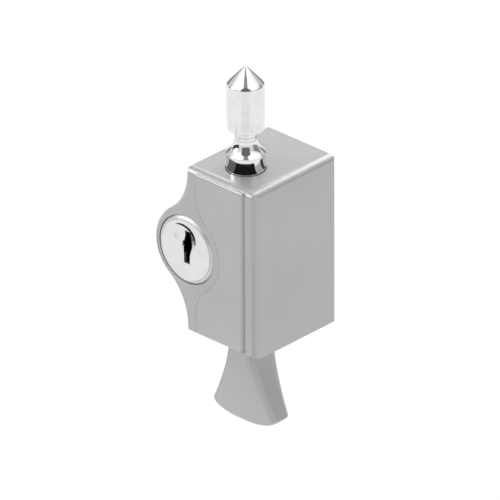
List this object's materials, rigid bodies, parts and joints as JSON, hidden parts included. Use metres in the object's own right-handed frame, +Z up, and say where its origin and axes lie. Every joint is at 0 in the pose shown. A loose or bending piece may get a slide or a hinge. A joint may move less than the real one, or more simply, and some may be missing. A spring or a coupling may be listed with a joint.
{
  "type": "sliding door bolt lock",
  "caption": "Surface-mounted sprung door bolt: a fishtail pull draws the hooked chrome bolt down and a key cylinder in an eye-shaped boss locks it.",
  "frame": {"origin": "on the door face, behind the middle of the housing, in line with the bolt", "axes": "+Z up along the bolt, +Y from the front into the door, +X to the right seen from the front"},
  "size_m": [0.0343, 0.0308, 0.0995],
  "materials": {
    "satin_paint": "satin",
    "chrome": "polished",
    "zinc_steel": "zinc plated",
    "brass": "plain"
  },
  "bodies": {
    "housing_body": {"housing": "satin_paint", "front_cover": "satin_paint", "fixing_plate": "zinc_steel", "retaining_screw": "zinc_steel", "guide_bush": "brass", "guide_plate": "zinc_steel", "guide_plate_screws": "zinc_steel", "slide_rivet": "zinc_steel", "throw_spring": "zinc_steel", "spring_washer": "zinc_steel", "cylinder_body": "chrome", "barrel_clip": "zinc_steel"},
    "bolt_body": {"bolt": "chrome", "guide_pin": "zinc_steel", "tail": "satin_paint", "tail_pin": "zinc_steel"},
    "plug_body": {"cylinder_plug": "chrome", "wafer_tumblers": "brass", "cam": "zinc_steel", "cam_washer": "zinc_steel", "cam_screw": "zinc_steel"},
    "slide_body": {"locking_slide": "zinc_steel"}
  },
  "joints": [
    {"name": "bolt_slide", "type": "slide", "parent": "housing_body", "child": "bolt_body", "axis": [0, 0, 1], "range_m": [-0.0205, 0], "stiffness_N_per_m": 250, "springref_m": 0.02, "deforming": ["throw_spring"]},
    {"name": "plug_turn", "type": "hinge", "parent": "housing_body", "child": "plug_body", "pos_m": [-0.01135, 0, -0.0001], "axis": [0, 1, 0], "range_deg": [0, 90]},
    {"name": "lock_slide", "type": "slide", "parent": "housing_body", "child": "slide_body", "axis": [1, 0, 0], "range_m": [0, 0.00651]}
  ],
  "couplings": [
    {"joint": "lock_slide", "follows": "plug_turn", "m_per_rad": 0.0041415}
  ]
}
